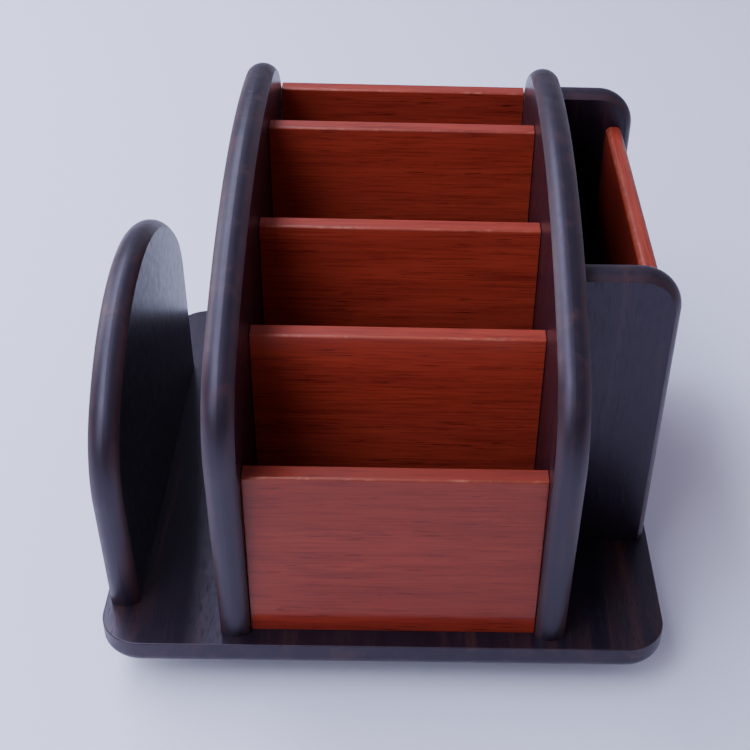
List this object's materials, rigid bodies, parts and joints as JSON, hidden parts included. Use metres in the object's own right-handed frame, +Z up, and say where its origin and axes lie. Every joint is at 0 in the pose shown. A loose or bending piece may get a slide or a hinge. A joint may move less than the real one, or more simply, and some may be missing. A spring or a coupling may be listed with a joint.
{
  "type": "rotating desk organizer",
  "caption": "Rotating wooden desk organizer: stepped compartments between two curved side panels, a side slot and a pen box on a turntable base.",
  "frame": {"origin": "on the turning axis, at the surface that the rubber pads stand on", "axes": "+Z up along the turning axis, front of the organizer towards -Y, its pen box towards +X"},
  "size_m": [0.24, 0.252, 0.2005],
  "materials": {
    "dark_stained_wood": "satin lacquer over a near-black stain",
    "mahogany_stained_wood": "satin lacquer over a red-brown stain",
    "zinc_plated_steel": "bright zinc plating",
    "beech_dowel": "raw beech",
    "anodised_aluminium": "turned and clear anodised",
    "nylon_cage": "natural nylon",
    "bearing_steel": "polished",
    "black_rubber": "matte"
  },
  "bodies": {
    "foot": {"foot_board": "dark_stained_wood", "lower_bearing_ring": "anodised_aluminium", "lower_ring_screws": "zinc_plated_steel", "rubber_pad_1": "black_rubber", "rubber_pad_2": "black_rubber", "rubber_pad_3": "black_rubber", "rubber_pad_4": "black_rubber", "pad_screws": "zinc_plated_steel"},
    "organizer": {"base_plate": "dark_stained_wood", "left_side_panel": "dark_stained_wood", "right_side_panel": "dark_stained_wood", "left_end_panel": "dark_stained_wood", "box_front_panel": "dark_stained_wood", "box_back_panel": "dark_stained_wood", "box_outer_wall": "mahogany_stained_wood", "divider_1_front": "mahogany_stained_wood", "divider_2": "mahogany_stained_wood", "divider_3": "mahogany_stained_wood", "divider_4": "mahogany_stained_wood", "divider_5_rear": "mahogany_stained_wood", "panel_screws": "zinc_plated_steel", "divider_dowels": "beech_dowel", "box_dowels": "beech_dowel", "upper_bearing_ring": "anodised_aluminium", "upper_ring_screws": "zinc_plated_steel"},
    "ball_ring": {"bearing_cage": "nylon_cage", "bearing_balls": "bearing_steel"}
  },
  "joints": [
    {"name": "turntable_spin", "type": "hinge", "parent": "foot", "child": "organizer", "pos_m": [0, 0, 0.013], "axis": [0, 0, 1], "continuous": true},
    {"name": "ball_ring_spin", "type": "hinge", "parent": "foot", "child": "ball_ring", "pos_m": [0, 0, 0.013], "axis": [0, 0, 1], "continuous": true}
  ],
  "couplings": [
    {"joint": "ball_ring_spin", "follows": "turntable_spin", "ratio": 0.476}
  ]
}
